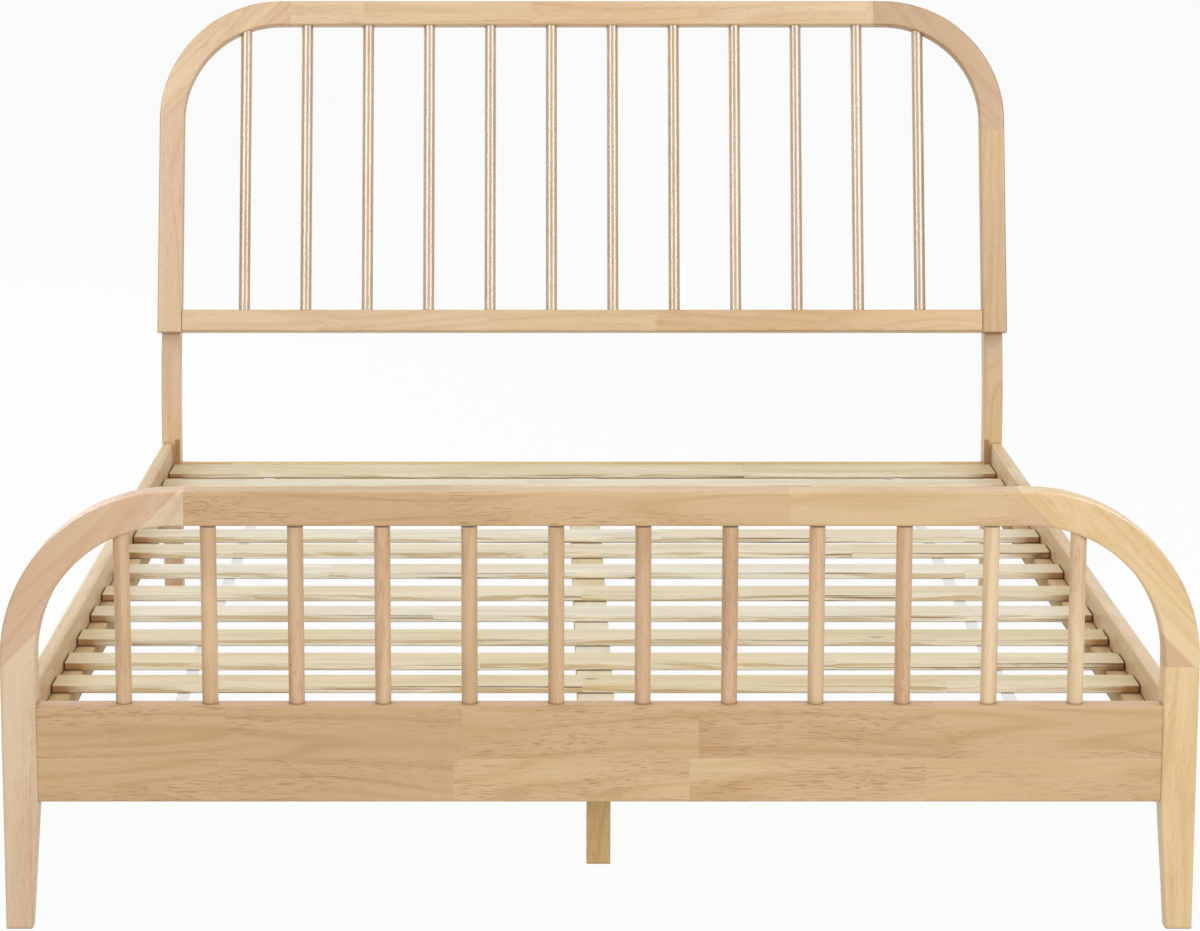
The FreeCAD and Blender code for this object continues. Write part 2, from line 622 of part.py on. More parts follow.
def centre_rail_seat(end, face, inward):
    """Make a steel seat for the centre rail, its screws and their holes; inward is 1 or -1 along the rail."""
    start = face if inward > 0 else f"({face} - seat_length)"
    upright_start = face if inward > 0 else f"({face} - steel_thick)"
    shelf = box(f"seat_shelf_{end}", ("seat_width", "seat_length", "steel_thick"))
    upright = box(f"seat_upright_{end}", ("seat_width", "steel_thick", "seat_drop"))
    place(shelf, "-seat_width / 2", start, f"{CENTRE_RAIL_FLOOR} - steel_thick")
    place(upright, "-seat_width / 2", upright_start, f"{CENTRE_RAIL_FLOOR} - seat_drop")

    level = f"{CENTRE_RAIL_FLOOR} - (seat_drop + steel_thick) / 2"
    wall_spots = [(f"{side} * seat_width / 4", f"{face} + {inward} * steel_thick", level) for side in (-1, 1)]
    rail_spots = [("0", f"{face} + {inward} * seat_length * 2 / 3", f"{CENTRE_RAIL_FLOOR} - steel_thick")]
    wall_screws, wall_holes = fixings(f"seat_screw_{end}", wall_spots, (1, 0, 0), 90 * inward, SCREW)
    rail_screws, rail_holes = fixings(f"seat_rail_screw_{end}", rail_spots, (1, 0, 0), 0, SCREW)
    for item in (wall_screws, wall_holes, rail_screws, rail_holes):
        place(item, "0", "0", "0")
    seat = cut(fused(shelf, upright, f"seat_{end}"), [wall_holes, rail_holes], f"seat_drilled_{end}")
    return seat, [wall_screws, rail_screws], wall_holes, rail_holes


def centre_support(foot_rail):
    """Build the centre rail, its seats on the footboard's rail and on the cross rail, and its legs."""
    cross_size = (f"2 * {LEG_INNER}", "cross_rail_thick", "cross_rail_height")
    cross_rail = board("CrossRail", cross_size, "x", "slat_round")
    place(cross_rail, f"-{LEG_INNER}", CROSS_RAIL_FRONT, f"{SLAT_TOP} - cross_rail_drop - cross_rail_height")
    length = f"({CROSS_RAIL_FRONT} - {FOOT_RAIL_BACK})"
    rail = board("CentreRail", ("centre_rail_width", length, "centre_rail_height"), "y", "slat_round")
    place(rail, "-centre_rail_width / 2", FOOT_RAIL_BACK, CENTRE_RAIL_FLOOR)

    foot_seat, foot_screws, foot_holes, foot_end_holes = centre_rail_seat("foot", FOOT_RAIL_BACK, 1)
    head_seat, head_screws, head_holes, head_end_holes = centre_rail_seat("head", CROSS_RAIL_FRONT, -1)
    node(cut(foot_rail, [foot_holes], "footboard_lower_rail"), "footboard_lower_rail")
    node(cut(cross_rail, [head_holes], "head_cross_rail"), "head_cross_rail")
    node(cut(rail, [foot_end_holes, head_end_holes], "centre_rail"), "centre_rail")
    node(group("centre_rail_seats", [foot_seat, head_seat]), "centre_rail_seats")
    node(group("seat_screws", foot_screws + head_screws), "seat_screws")

    last_leg = "frame_length - centre_leg_inset - centre_leg_side"
    size = ("centre_leg_side", "centre_leg_side", CENTRE_RAIL_FLOOR)
    for index in range(CENTRE_LEGS):
        leg = board(f"CentreLeg{index + 1}", size, "z", "slat_round")
        front = f"centre_leg_inset + ({last_leg} - centre_leg_inset) * {index} / {CENTRE_LEGS - 1}"
        node(place(leg, "centre_leg_shift - centre_leg_side / 2", front, "0"), f"centre_leg_{index + 1}")


def assemble():
    """Build every piece of the bed."""
    post, foot_rail = footboard()
    stile = headboard()
    leg = head_leg()
    rail = side_rail()
    leg, stile = panel_fixings(leg, stile)
    leg, rail = rail_fixings(leg, rail)
    post, rail = foot_bracket_fixings(post, rail)
    pair(post, "footboard_leg")
    pair(stile, "headboard_stile")
    pair(leg, "head_leg")
    pair(rail, "side_rail")
    ledgers_and_plates()
    slat_roll()
    centre_support(foot_rail)


def check_and_export():
    """Stop on a failed object, then write one STEP file for each node."""
    doc.recompute()
    for item in doc.Objects:
        if {"Invalid", "Error"} & set(item.State):
            raise RuntimeError(f"{item.Label} failed: {item.State}")
    for item in nodes:
        if item.Shape.isNull() or not item.Shape.isValid():
            raise RuntimeError(f"{item.Label} has no valid shape")
    os.makedirs("parts", exist_ok=True)
    for item in nodes:
        item.Shape.exportStep(f"parts/{item.Label}.step")


assemble()
check_and_export()
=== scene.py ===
"""Looks of the spindle bed: timber, steel and webbing finishes, the straps and a white studio."""
import itertools
import logging
import math
from dataclasses import dataclass, replace
from enum import Enum
from typing import Optional, Sequence, Union

import bmesh
import bpy
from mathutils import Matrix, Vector


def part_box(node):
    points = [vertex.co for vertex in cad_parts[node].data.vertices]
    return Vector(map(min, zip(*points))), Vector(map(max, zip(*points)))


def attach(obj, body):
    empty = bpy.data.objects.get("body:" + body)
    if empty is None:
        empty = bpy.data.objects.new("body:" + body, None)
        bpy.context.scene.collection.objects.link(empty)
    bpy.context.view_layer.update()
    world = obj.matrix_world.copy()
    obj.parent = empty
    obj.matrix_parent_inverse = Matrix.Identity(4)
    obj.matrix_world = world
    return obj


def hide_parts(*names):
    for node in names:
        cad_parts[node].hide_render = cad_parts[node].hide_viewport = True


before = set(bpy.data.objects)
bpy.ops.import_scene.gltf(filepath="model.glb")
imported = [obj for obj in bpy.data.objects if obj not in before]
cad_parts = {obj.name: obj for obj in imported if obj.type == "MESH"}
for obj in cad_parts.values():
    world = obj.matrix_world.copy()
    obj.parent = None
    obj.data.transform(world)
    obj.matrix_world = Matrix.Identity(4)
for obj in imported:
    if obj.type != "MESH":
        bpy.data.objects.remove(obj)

log = logging.getLogger("spindle_bed")
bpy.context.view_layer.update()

Socket = bpy.types.NodeSocket
Value = Union[float, Sequence[float], Socket]
Colour = tuple[int, int, int]
Waves = tuple[float, float, float]

# Waves for each metre along, across and through the grain
CLOUDS: Waves = (3.5, 17.0, 17.0)
FLAMES: Waves = (1.5, 19.0, 19.0)
FIGURE: Waves = (2.2, 70.0, 70.0)
PORES: Waves = (38.0, 700.0, 700.0)
DRIFTS: Waves = (2.6, 11.0, 11.0)
KNOTS: Waves = (5.0, 16.0, 16.0)
BARK: Waves = (2.6, 420.0, 420.0)
BARK_PATCHES: Waves = (3.0, 8.0, 8.0)

# Waves for each metre in the piece's own directions
SPANGLE: Waves = (60.0, 60.0, 60.0)
SCRATCHES: Waves = (900.0, 900.0, 60.0)

# Lengths, in metres
GRAIN_DRIFT = 0.022  # how far the grain wanders
GRAIN_RELIEF = 0.0003  # depth of streaks and pores
FINGER_WIDTH = 0.0035  # half of one finger in a joint between staves
WHOLE_PIECE = 3.0  # staves longer than any piece
SEAM_SHADE_REACH = 0.0032  # how far the painted shade along a joint reaches
SHELTER_REACH = 0.06  # how far the painted shade of a ledger strip reaches over a slat's end
SOCKET_BLUR = 0.0007  # half of the soft edge of the painted shadow at a spindle's socket
STAVE_SHIFT = (11.0, 5.0, 3.0)  # how far apart in the timber the staves were cut

# Distances from the bed's middle between which painted shade darkens the slats' ends, in metres
SHADED_ENDS = (0.685, 0.775)
SHELTER_SHADE_ENDS = (0.64, 0.75)

# Spacing of the spindles: the clear width between the posts or stiles over their thirteen gaps, in metres
FOOT_SPACING = 1.504 / 13
HEAD_SPACING = 1.516 / 13

# Turns of a piece or of its grain, in degrees
RAKE = 16.0
CORNER_SLANT = 45.0

STAGGER_DRAW = 3.0  # sets the draw of a row's first joint apart from the draws of its staves

# Display colours of painted shade
PAINTED_SHADE: Colour = (94, 56, 29)
SHELTER_SHADE: Colour = (156, 111, 58)
SHADED_END: Colour = (184, 158, 104)


def linear(colour: Colour) -> tuple[float, float, float, float]:
    """Turn a display colour into scene values.

    Args:
        colour: Red, green and blue from 0 to 255, as a display shows them.

    Returns:
        Red, green, blue and alpha for a shader socket.
    """
    shares = [channel / 255 for channel in colour]
    values = [share / 12.92 if share <= 0.04045 else ((share + 0.055) / 1.055) ** 2.4 for share in shares]
    return values[0], values[1], values[2], 1.0


class Grain(Enum):
    """Order in which a piece's own directions serve as along, across and through the grain."""

    ALONG_X = "xzy"
    ALONG_Y = "yzx"
    UPRIGHT = "zxy"
    FLAT_X = "xyz"


@dataclass(frozen=True)
class Cut:
    """How a piece was cut from the timber; places are in the piece's own turned frame, in metres.

    Attributes:
        grain: Direction of the grain.
        seed: Picks the piece's own staves and grain.
        tint: Range of the timber's tones that its staves take, from 0 for the darkest to 1 for the palest.
        rake: Lean of the piece towards the headboard, in degrees.
        slant: Turn of the grain in the board's plane, in degrees.
        rows: Places of the glue lines across the grain.
        length: Length of the glued staves.
        end: Place of one joint between staves along the grain.
        jitter: How far the joints of one row stand off another row's, as a share of the length.
        finger: Depth of the finger joints.
        count: Spacing across the grain of many alike pieces, or zero for one piece.
        socket_shadow: Height above which an upright piece takes a painted shadow where it enters its socket,
            or zero for none.
        fade: How much painted shade darkens a face as it leans back, for each unit of its normal's rise.
    """

    grain: Grain
    seed: int
    tint: tuple[float, float] = (0.0, 1.0)
    rake: float = 0.0
    slant: float = 0.0
    rows: tuple[float, ...] = ()
    length: float = 0.32
    end: float = 0.0
    jitter: float = 0.12
    finger: float = 0.0
    count: float = 0.0
    socket_shadow: float = 0.0
    fade: float = 0.0


class Graph:
    """Node tree of one material, ending in a principled shader."""

    def __init__(self, name: str) -> None:
        """Start an empty tree.

        Args:
            name: Name of the material.
        """
        self.material = bpy.data.materials.new(name)
        self.material.use_nodes = True
        self.tree = self.material.node_tree
        self.tree.nodes.clear()
        self.shader = self.node("ShaderNodeBsdfPrincipled")
        output = self.node("ShaderNodeOutputMaterial")
        self.tree.links.new(self.shader.outputs["BSDF"], output.inputs["Surface"])

    def node(self, kind: str, **settings: object) -> bpy.types.Node:
        """Add a node.

        Args:
            kind: Blender's name of the node type.
            settings: Properties of the node.

        Returns:
            The new node.
        """
        made = self.tree.nodes.new(kind)
        for name, setting in settings.items():
            setattr(made, name, setting)
        return made

    def feed(self, socket: Socket, value: Value) -> None:
        """Link a socket to another one, or set its own value."""
        if isinstance(value, bpy.types.NodeSocket):
            self.tree.links.new(value, socket)
        else:
            socket.default_value = value

    def set(self, **values: Value) -> None:
        """Feed the shader's sockets; an underscore stands for a space."""
        for name, value in values.items():
            self.feed(self.shader.inputs[name.replace("_", " ")], value)

    def math(self, operation: str, first: Value, second: Value = 0.0, third: Value = 0.0) -> Socket:
        """Add a sum on numbers.

        Args:
            operation: Name of the operation.
            first: First number.
            second: Second number.
            third: Third number, where the operation has one.

        Returns:
            The result's socket.
        """
        made = self.node("ShaderNodeMath", operation=operation)
        for socket, value in zip(made.inputs, (first, second, third)):
            self.feed(socket, value)
        return made.outputs[0]

    def product(self, first: Value, *others: Value) -> Socket:
        """Multiply numbers and return the result's socket."""
        for other in others:
            first = self.math("MULTIPLY", first, other)
        return first

    def vector(self, operation: str, first: Value, second: Value) -> Socket:
        """Add a sum on vectors and return its result's socket."""
        made = self.node("ShaderNodeVectorMath", operation=operation)
        self.feed(made.inputs[0], first)
        self.feed(made.inputs[1], second)
        return made.outputs[0]

    def combine(self, x: Value, y: Value, z: Value) -> Socket:
        """Join three numbers to a vector and return its socket."""
        made = self.node("ShaderNodeCombineXYZ")
        for socket, value in zip(made.inputs, (x, y, z)):
            self.feed(socket, value)
        return made.outputs[0]

    def axis(self, source: str, letter: str) -> Socket:
        """Return X, Y or Z of the place ("Object") or of the face's direction ("Normal")."""
        parts = self.node("ShaderNodeSeparateXYZ")
        self.feed(parts.inputs[0], self.node("ShaderNodeTexCoord").outputs[source])
        return parts.outputs[letter]

    def openness(self, reach: float, samples: int) -> Socket:
        """Measure how open a spot is within a reach, from 0 if covered to 1, and return the socket."""
        made = self.node("ShaderNodeAmbientOcclusion", samples=samples)
        self.feed(made.inputs["Distance"], reach)
        return made.outputs["AO"]

    def noise(self, place: Socket, waves: Waves, detail: float = 2.0) -> Socket:
        """Add stretched noise.

        Args:
            place: Where to read it, in metres.
            waves: Waves for each metre in the place's three directions.
            detail: Octaves of finer noise.

        Returns:
            The noise, from 0 to 1.
        """
        made = self.node("ShaderNodeTexNoise", noise_dimensions="3D")
        self.feed(made.inputs["Vector"], self.vector("MULTIPLY", place, waves))
        self.feed(made.inputs["Scale"], 1.0)
        self.feed(made.inputs["Detail"], detail)
        return made.outputs["Fac"]

    def chance(self, place: Socket) -> bpy.types.Node:
        """Add a random value and colour for each whole-numbered place and return the node."""
        made = self.node("ShaderNodeTexWhiteNoise", noise_dimensions="3D")
        self.feed(made.inputs["Vector"], place)
        return made

    def band(self, value: Socket, low: float, high: float) -> Socket:
        """Rise smoothly from 0 at one value to 1 at another and return the socket."""
        made = self.node("ShaderNodeMapRange", interpolation_type="SMOOTHSTEP")
        self.feed(made.inputs["Value"], value)
        self.feed(made.inputs["From Min"], low)
        self.feed(made.inputs["From Max"], high)
        return made.outputs["Result"]

    def span(self, value: Socket, low: float, high: float) -> Socket:
        """Spread a value from 0 to 1 over a range and return the socket."""
        made = self.node("ShaderNodeMapRange")
        self.feed(made.inputs["Value"], value)
        self.feed(made.inputs["To Min"], low)
        self.feed(made.inputs["To Max"], high)
        return made.outputs["Result"]

    def tones(self, factor: Socket, colours: Sequence[Colour]) -> Socket:
        """Pick a colour from an evenly spaced row.

        Args:
            factor: Where in the row, from 0 to 1.
            colours: Display colours of the row.

        Returns:
            The colour's socket.
        """
        ramp = self.node("ShaderNodeValToRGB")
        stops = ramp.color_ramp.elements
        while len(stops) < len(colours):
            stops.new(1.0)
        for index, (stop, colour) in enumerate(zip(stops, colours)):
            stop.position = index / (len(colours) - 1)
            stop.color = linear(colour)
        self.feed(ramp.inputs["Fac"], factor)
        return ramp.outputs["Color"]

    def blend(self, factor: Value, first: Value, second: Value) -> Socket:
        """Mix two colours and return the socket."""
        made = self.node("ShaderNodeMix", data_type="RGBA", blend_type="MIX")
        self.feed(made.inputs["Factor"], factor)
        self.feed(made.inputs["A"], first)
        self.feed(made.inputs["B"], second)
        return made.outputs["Result"]

    def shade(self, colour: Socket, saturation: Value, value: Value) -> Socket:
        """Change a colour's saturation and brightness and return the socket."""
        made = self.node("ShaderNodeHueSaturation")
        self.feed(made.inputs["Saturation"], saturation)
        self.feed(made.inputs["Value"], value)
        self.feed(made.inputs["Color"], colour)
        return made.outputs["Color"]

    def bump(self, height: Socket, strength: float, distance: float) -> None:
        """Raise the surface by a height, at most a distance in metres."""
        made = self.node("ShaderNodeBump")
        self.feed(made.inputs["Strength"], strength)
        self.feed(made.inputs["Distance"], distance)
        self.feed(made.inputs["Height"], height)
        self.feed(self.shader.inputs["Normal"], made.outputs["Normal"])


@dataclass(frozen=True)
class Timber:
    """A planed wood, bare or lacquered.

    Attributes:
        tones: Display colours of its staves, from the darkest to the palest.
        blush: Display colour that some parts lean to.
        sawn_and_shade: Display colours that tint the upright faces in streaks, partly the sawn timber's own
            colour and partly painted shade, or None.
        pore: Display colour of the pores.
        knot: Display colour of the knots, or None.
        pore_share: How strongly the pores show.
        figure_share: How far the figure changes the brightness.
        rings: Growth rings in the broad figure.
        streak: Waves of the fine streaks for each metre, along and across the grain.
        roughness: Roughness of the finish.
        coat: Share of clear lacquer.
        relief: How strongly streaks and pores stand off the surface.
        shade_reach: How far the painted shade of a touching piece reaches, in metres.
        shade_share: How dark that painted shade gets.
    """

    tones: tuple[Colour, ...]
    blush: Colour
    sawn_and_shade: Optional[tuple[Colour, Colour]]
    pore: Colour
    knot: Optional[Colour]
    pore_share: float
    figure_share: float
    rings: float
    streak: tuple[float, float]
    roughness: float
    coat: float
    relief: float = 0.2
    shade_reach: float = 0.007
    shade_share: float = 0.55

    def material(self, name: str, cut: Cut) -> bpy.types.Material:
        """Make the finish for one piece.

        Args:
            name: Name of the material.
            cut: How the piece was cut.

        Returns:
            The material.
        """
        graph = Graph(name)
        straight, stave = self.staves(graph, cut)
        place = self.wander(graph, straight)
        clouds = graph.noise(straight, CLOUDS, 1.0)
        rings = graph.product(graph.noise(place, FLAMES, 0.5), self.rings)
        flame = graph.band(graph.math("PINGPONG", rings, 0.5), 0.0, 0.3)
        figure = graph.noise(place, FIGURE, 3.0)
        streak = graph.noise(place, (self.streak[0], self.streak[1], self.streak[1]))
        pores = graph.band(graph.noise(place, PORES, 1.0), 0.53, 0.7)
        pores = graph.product(pores, graph.band(clouds, 0.3, 0.66))

        light = self.light(graph, flame, figure, streak)
        # Painted shade on faces that lean back
        if cut.fade:
            light = graph.product(light, self.painted_lean_shade(graph, cut.fade))
        colour = graph.tones(graph.span(stave.outputs["Value"], *cut.tint), self.tones)
        colour = graph.blend(graph.product(graph.band(clouds, 0.4, 0.7), 0.7), colour, linear(self.blush))
        depth = graph.product(graph.span(figure, 1.1, 0.94), graph.span(flame, 1.06, 0.99))
        colour = graph.shade(colour, depth, light)
        if self.sawn_and_shade:
            colour = self.sawn_edges_and_painted_shade(graph, colour, streak)
        colour = graph.blend(graph.product(pores, self.pore_share), colour, linear(self.pore))
        if self.knot:
            colour = graph.blend(self.knot_spots(graph, straight), colour, linear(self.knot))
        # Painted shadow where the piece enters its socket
        if cut.socket_shadow:
            colour = graph.blend(self.painted_socket_shadow(graph, cut.socket_shadow), colour, linear(PAINTED_SHADE))
        # Painted shade in the joints and hollows between pieces
        graph.set(Base_Color=self.painted_crevice_shade(graph, colour), Coat_Weight=self.coat, Coat_Roughness=0.15,
                  Coat_IOR=1.5, Roughness=graph.span(streak, self.roughness - 0.06, self.roughness + 0.08))
        graph.bump(graph.math("SUBTRACT", graph.product(streak, 0.4), pores), self.relief, GRAIN_RELIEF)
        return graph.material

    def staves(self, graph: Graph, cut: Cut) -> tuple[Socket, bpy.types.Node]:
        """Divide a piece into glued staves.

        Args:
            graph: The material's tree.
            cut: How the piece was cut.

        Returns:
            The place in the stave's own grain, and the stave's random node.
        """
        turned = graph.node("ShaderNodeMapping")
        turned.inputs["Rotation"].default_value = (math.radians(cut.rake), math.radians(cut.slant), 0.0)
        graph.feed(turned.inputs["Vector"], graph.node("ShaderNodeTexCoord").outputs["Object"])
        parts = graph.node("ShaderNodeSeparateXYZ")
        graph.feed(parts.inputs[0], turned.outputs[0])
        along, across, through = (parts.outputs["xyz".index(letter)] for letter in cut.grain.value)
        row: Value = 0.0
        if cut.count:
            row = graph.math("FLOOR", graph.math("DIVIDE", across, cut.count))
        for line in cut.rows:
            row = graph.math("ADD", graph.math("GREATER_THAN", across, line), row)
        start = graph.chance(graph.combine(row, cut.seed, STAGGER_DRAW)).outputs["Value"]
        reach = along
        if cut.finger:
            teeth = graph.math("PINGPONG", across, FINGER_WIDTH)
            reach = graph.math("MULTIPLY_ADD", teeth, cut.finger / FINGER_WIDTH, along)
        reach = graph.math("MULTIPLY_ADD", reach, 1 / cut.length, -cut.end / cut.length)
        column = graph.math("FLOOR", graph.math("MULTIPLY_ADD", start, cut.jitter, reach))
        stave = graph.chance(graph.combine(row, column, cut.seed))
        shift = graph.vector("MULTIPLY", stave.outputs["Color"], STAVE_SHIFT)
        return graph.vector("ADD", graph.combine(along, across, through), shift), stave

    def wander(self, graph: Graph, place: Socket) -> Socket:
        """Let the grain wander across a stave.

        Args:
            graph: The material's tree.
            place: Place in the stave's straight grain.

        Returns:
            Place in the wandering grain.
        """
        drift = graph.span(graph.noise(place, DRIFTS, 1.0), -GRAIN_DRIFT, GRAIN_DRIFT)
        return graph.vector("ADD", place, graph.combine(0.0, drift, drift))

    def light(self, graph: Graph, flame: Socket, figure: Socket, streak: Socket) -> Socket:
        """Find how bright the grain is.

        Args:
            graph: The material's tree.
            flame: The broad figure, from 0 to 1.
            figure: The finer figure, from 0 to 1.
            streak: The fine streaks, from 0 to 1.

        Returns:
            The brightness, about 1.
        """
        share = self.figure_share
        broad = graph.span(flame, 1 - 1.2 * share, 1 + 0.5 * share)
        fine = graph.math("ADD", broad, graph.span(figure, -share, share))
        return graph.math("ADD", fine, graph.span(streak, -1.3 * share, 1.3 * share))

    def sawn_edges_and_painted_shade(self, graph: Graph, colour: Socket, streak: Socket) -> Socket:
        """Tint the upright faces of a slat, partly as sawn timber and partly as painted shade, and paint
        shade on its ends and lower edges.

        Args:
            graph: The material's tree.
            colour: Colour of the planed faces.
            streak: The fine streaks, from 0 to 1.

        Returns:
            The tinted colour.
        """
        # Upright faces: partly the sawn timber's own streaky colour, partly painted shade
        edge = graph.tones(graph.band(streak, 0.36, 0.6), self.sawn_and_shade)
        colour = graph.blend(graph.product(self.upright(graph), 0.75), colour, edge)
        # Painted shade darkens the slats' ends next to the side rails
        colour = graph.blend(graph.product(self.ends(graph, *SHADED_ENDS), 0.5), colour, linear(SHADED_END))
        # Painted shade on the upright faces over the ledger strips
        colour = graph.blend(self.painted_shelter_shade(graph), colour, linear(SHELTER_SHADE))
        # Painted shade along the slats' lower rounded edges
        return graph.blend(graph.product(self.painted_arris_shade(graph), 0.45), colour, linear(PAINTED_SHADE))

    def upright(self, graph: Graph) -> Socket:
        """Mark the faces that stand upright and return the socket."""
        return graph.band(graph.math("ABSOLUTE", graph.axis("Normal", "Z")), 0.75, 0.35)

    def painted_lean_shade(self, graph: Graph, share: float) -> Socket:
        """Fall from 1 on upright faces to less on faces that lean back, as painted shade, and return the
        socket.
        """
        rise = graph.math("MINIMUM", graph.math("MAXIMUM", graph.axis("Normal", "Z"), 0.0), 0.3)
        return graph.math("MULTIPLY_ADD", rise, -share, 1.0)

    def ends(self, graph: Graph, start: float, stop: float) -> Socket:
        """Rise from 0 at one distance from the bed's middle to 1 at another and return the socket."""
        return graph.band(graph.math("ABSOLUTE", graph.axis("Object", "X")), start, stop)

    def painted_shelter_shade(self, graph: Graph) -> Socket:
        """Mark the upright faces close over the ledger strips, at the slats' ends, for painted shade, and
        return the socket.
        """
        cover = graph.band(graph.openness(SHELTER_REACH, 6), 0.95, 0.5)
        return graph.product(cover, self.ends(graph, *SHELTER_SHADE_ENDS), self.upright(graph), 0.9)

    def painted_arris_shade(self, graph: Graph) -> Socket:
        """Mark the rounding between upright faces and underside, where shade is painted, and return the
        socket.
        """
        level = graph.axis("Normal", "Z")
        return graph.product(graph.band(level, -0.2, -0.55), graph.band(level, -0.99, -0.94))

    def painted_socket_shadow(self, graph: Graph, level: float) -> Socket:
        """Mark what stands above a level, where a piece enters its socket, for a painted shadow, and return
        the socket.
        """
        above = graph.band(graph.axis("Object", "Z"), level - SOCKET_BLUR, level + SOCKET_BLUR)
        return graph.product(above, 0.7)

    def knot_spots(self, graph: Graph, place: Socket) -> Socket:
        """Scatter a few small knots and dark lines and return how strongly they show."""
        cells = graph.node("ShaderNodeTexVoronoi", voronoi_dimensions="3D", feature="F1")
        graph.feed(cells.inputs["Vector"], graph.vector("MULTIPLY", place, KNOTS))
        graph.feed(cells.inputs["Scale"], 1.0)
        picked = graph.node("ShaderNodeSeparateXYZ")
        graph.feed(picked.inputs[0], cells.outputs["Color"])
        spot = graph.product(graph.band(cells.outputs["Distance"], 0.085, 0.03),
                             graph.math("GREATER_THAN", picked.outputs["X"], 0.6))
        lines = graph.band(graph.noise(place, BARK, 1.0), 0.57, 0.66)
        patches = graph.band(graph.noise(place, BARK_PATCHES, 0.0), 0.44, 0.62)
        bark = graph.product(lines, patches, self.upright(graph))
        return graph.product(graph.math("MAXIMUM", spot, bark), 0.8)

    def painted_crevice_shade(self, graph: Graph, colour: Socket) -> Socket:
        """Paint shade into the thin joints and hollows between pieces and return the colour's socket."""
        depth = graph.product(graph.band(graph.openness(self.shade_reach, 6), 0.85, 0.15), self.shade_share)
        line = graph.product(graph.band(graph.openness(SEAM_SHADE_REACH, 8), 0.86, 0.6), 0.45)
        return graph.blend(graph.math("MAXIMUM", depth, line), colour, linear(PAINTED_SHADE))


@dataclass(frozen=True)
class Metal:
    """Plated or enamelled steel.

    Attributes:
        tones: Two display colours, between which it varies.
        metallic: Share of bare metal.
        roughness: Roughness of the finish.
    """

    tones: tuple[Colour, Colour]
    metallic: float
    roughness: float

    def material(self, name: str) -> bpy.types.Material:
        """Make the finish and return the material."""
        graph = Graph(name)
        place = graph.node("ShaderNodeTexCoord").outputs["Object"]
        cloud = graph.noise(place, SPANGLE, 3.0)
        scratch = graph.noise(place, SCRATCHES)
        graph.set(Base_Color=graph.tones(cloud, self.tones), Metallic=self.metallic)
        graph.set(Roughness=graph.span(scratch, self.roughness - 0.08, self.roughness + 0.12))
        graph.bump(scratch, 0.15, 0.0002)
        return graph.material


@dataclass(frozen=True)
class Webbing:
    """White woven webbing.

    Attributes:
        tones: Display colours from the hollows to the top of the weave; the darker hollows are painted
            shade.
        thread: Width of a thread, in metres.
    """

    tones: tuple[Colour, Colour]
    thread: float

    def material(self, name: str) -> bpy.types.Material:
        """Make the finish and return the material."""
        graph = Graph(name)
        threads = (graph.product(graph.axis("Object", letter), math.pi / self.thread) for letter in "XY")
        # The weave's hollows get darker as painted shade
        weave = graph.product(*(graph.math("ABSOLUTE", graph.math("SINE", turn)) for turn in threads))
        graph.set(Base_Color=graph.tones(weave, self.tones), Roughness=0.85, Sheen_Weight=0.2)
        graph.bump(weave, 0.5, 0.0004)
        return graph.material


HARDWOOD = Timber(
    tones=((194, 158, 117), (200, 166, 124), (205, 173, 129), (211, 180, 136), (222, 196, 155)),
    blush=(202, 165, 124), sawn_and_shade=None, pore=(146, 106, 72), knot=None, pore_share=0.55, figure_share=0.06,
    rings=6.0, streak=(6.0, 260.0), roughness=0.45, coat=0.12)
PINK_HARDWOOD = replace(
    HARDWOOD, tones=((210, 176, 142), (213, 181, 146), (218, 191, 158), (222, 198, 166)),
    blush=(211, 177, 145), pore_share=0.24, figure_share=0.045)
GOLDEN_HARDWOOD = replace(
    HARDWOOD, tones=((206, 170, 134), (218, 186, 140), (225, 195, 147), (229, 202, 156)),
    blush=(221, 187, 138), pore_share=0.24, figure_share=0.045)
TURNED = replace(
    HARDWOOD, tones=((200, 165, 127), (208, 175, 137), (213, 182, 143), (220, 192, 153), (229, 204, 166)),
    blush=(209, 171, 138), figure_share=0.07, pore_share=0.4)
PALE_HARDWOOD = replace(
    HARDWOOD, tones=((200, 162, 112), (206, 171, 121), (213, 183, 142), (216, 188, 148), (219, 193, 155)),
    blush=(212, 178, 138), pore_share=0.35, figure_share=0.05)
CREAM_HARDWOOD = replace(
    PALE_HARDWOOD, tones=((213, 184, 142), (218, 191, 150), (223, 198, 160)), blush=(216, 184, 142))
BLOND_HARDWOOD = replace(
    PALE_HARDWOOD, tones=((195, 158, 122), (213, 183, 142), (219, 193, 155)), blush=(211, 177, 139))
ROSY_HARDWOOD = replace(
    PALE_HARDWOOD, tones=((201, 165, 127), (205, 171, 132), (210, 178, 140)),
    blush=(206, 171, 136), coat=0.08)
DUSKY_HARDWOOD = replace(
    PALE_HARDWOOD, tones=((181, 147, 106), (185, 151, 110), (190, 156, 114)),
    blush=(185, 150, 114), coat=0.08)
PEACH_HARDWOOD = replace(
    PALE_HARDWOOD, tones=((226, 190, 150), (230, 195, 155), (234, 201, 162)),
    blush=(231, 194, 157), coat=0.04)
YELLOW_HARDWOOD = replace(
    PALE_HARDWOOD, tones=((220, 184, 136), (224, 189, 141), (228, 195, 147)),
    blush=(221, 185, 137), coat=0.04)
OCHRE_HARDWOOD = replace(
    PALE_HARDWOOD, tones=((186, 151, 102), (192, 158, 110), (197, 164, 116)),
    blush=(192, 157, 110), coat=0.04)
GLOSSY_TURNED = replace(
    PALE_HARDWOOD, tones=((178, 151, 116), (182, 157, 123), (186, 162, 129), (190, 168, 137)),
    blush=(184, 154, 122), roughness=0.5, coat=1.0, relief=0.03)
BARE_WOOD = replace(
    HARDWOOD, tones=((206, 172, 119), (215, 184, 129), (221, 192, 138), (225, 198, 146)),
    blush=(215, 181, 128), roughness=0.8, coat=0.0)
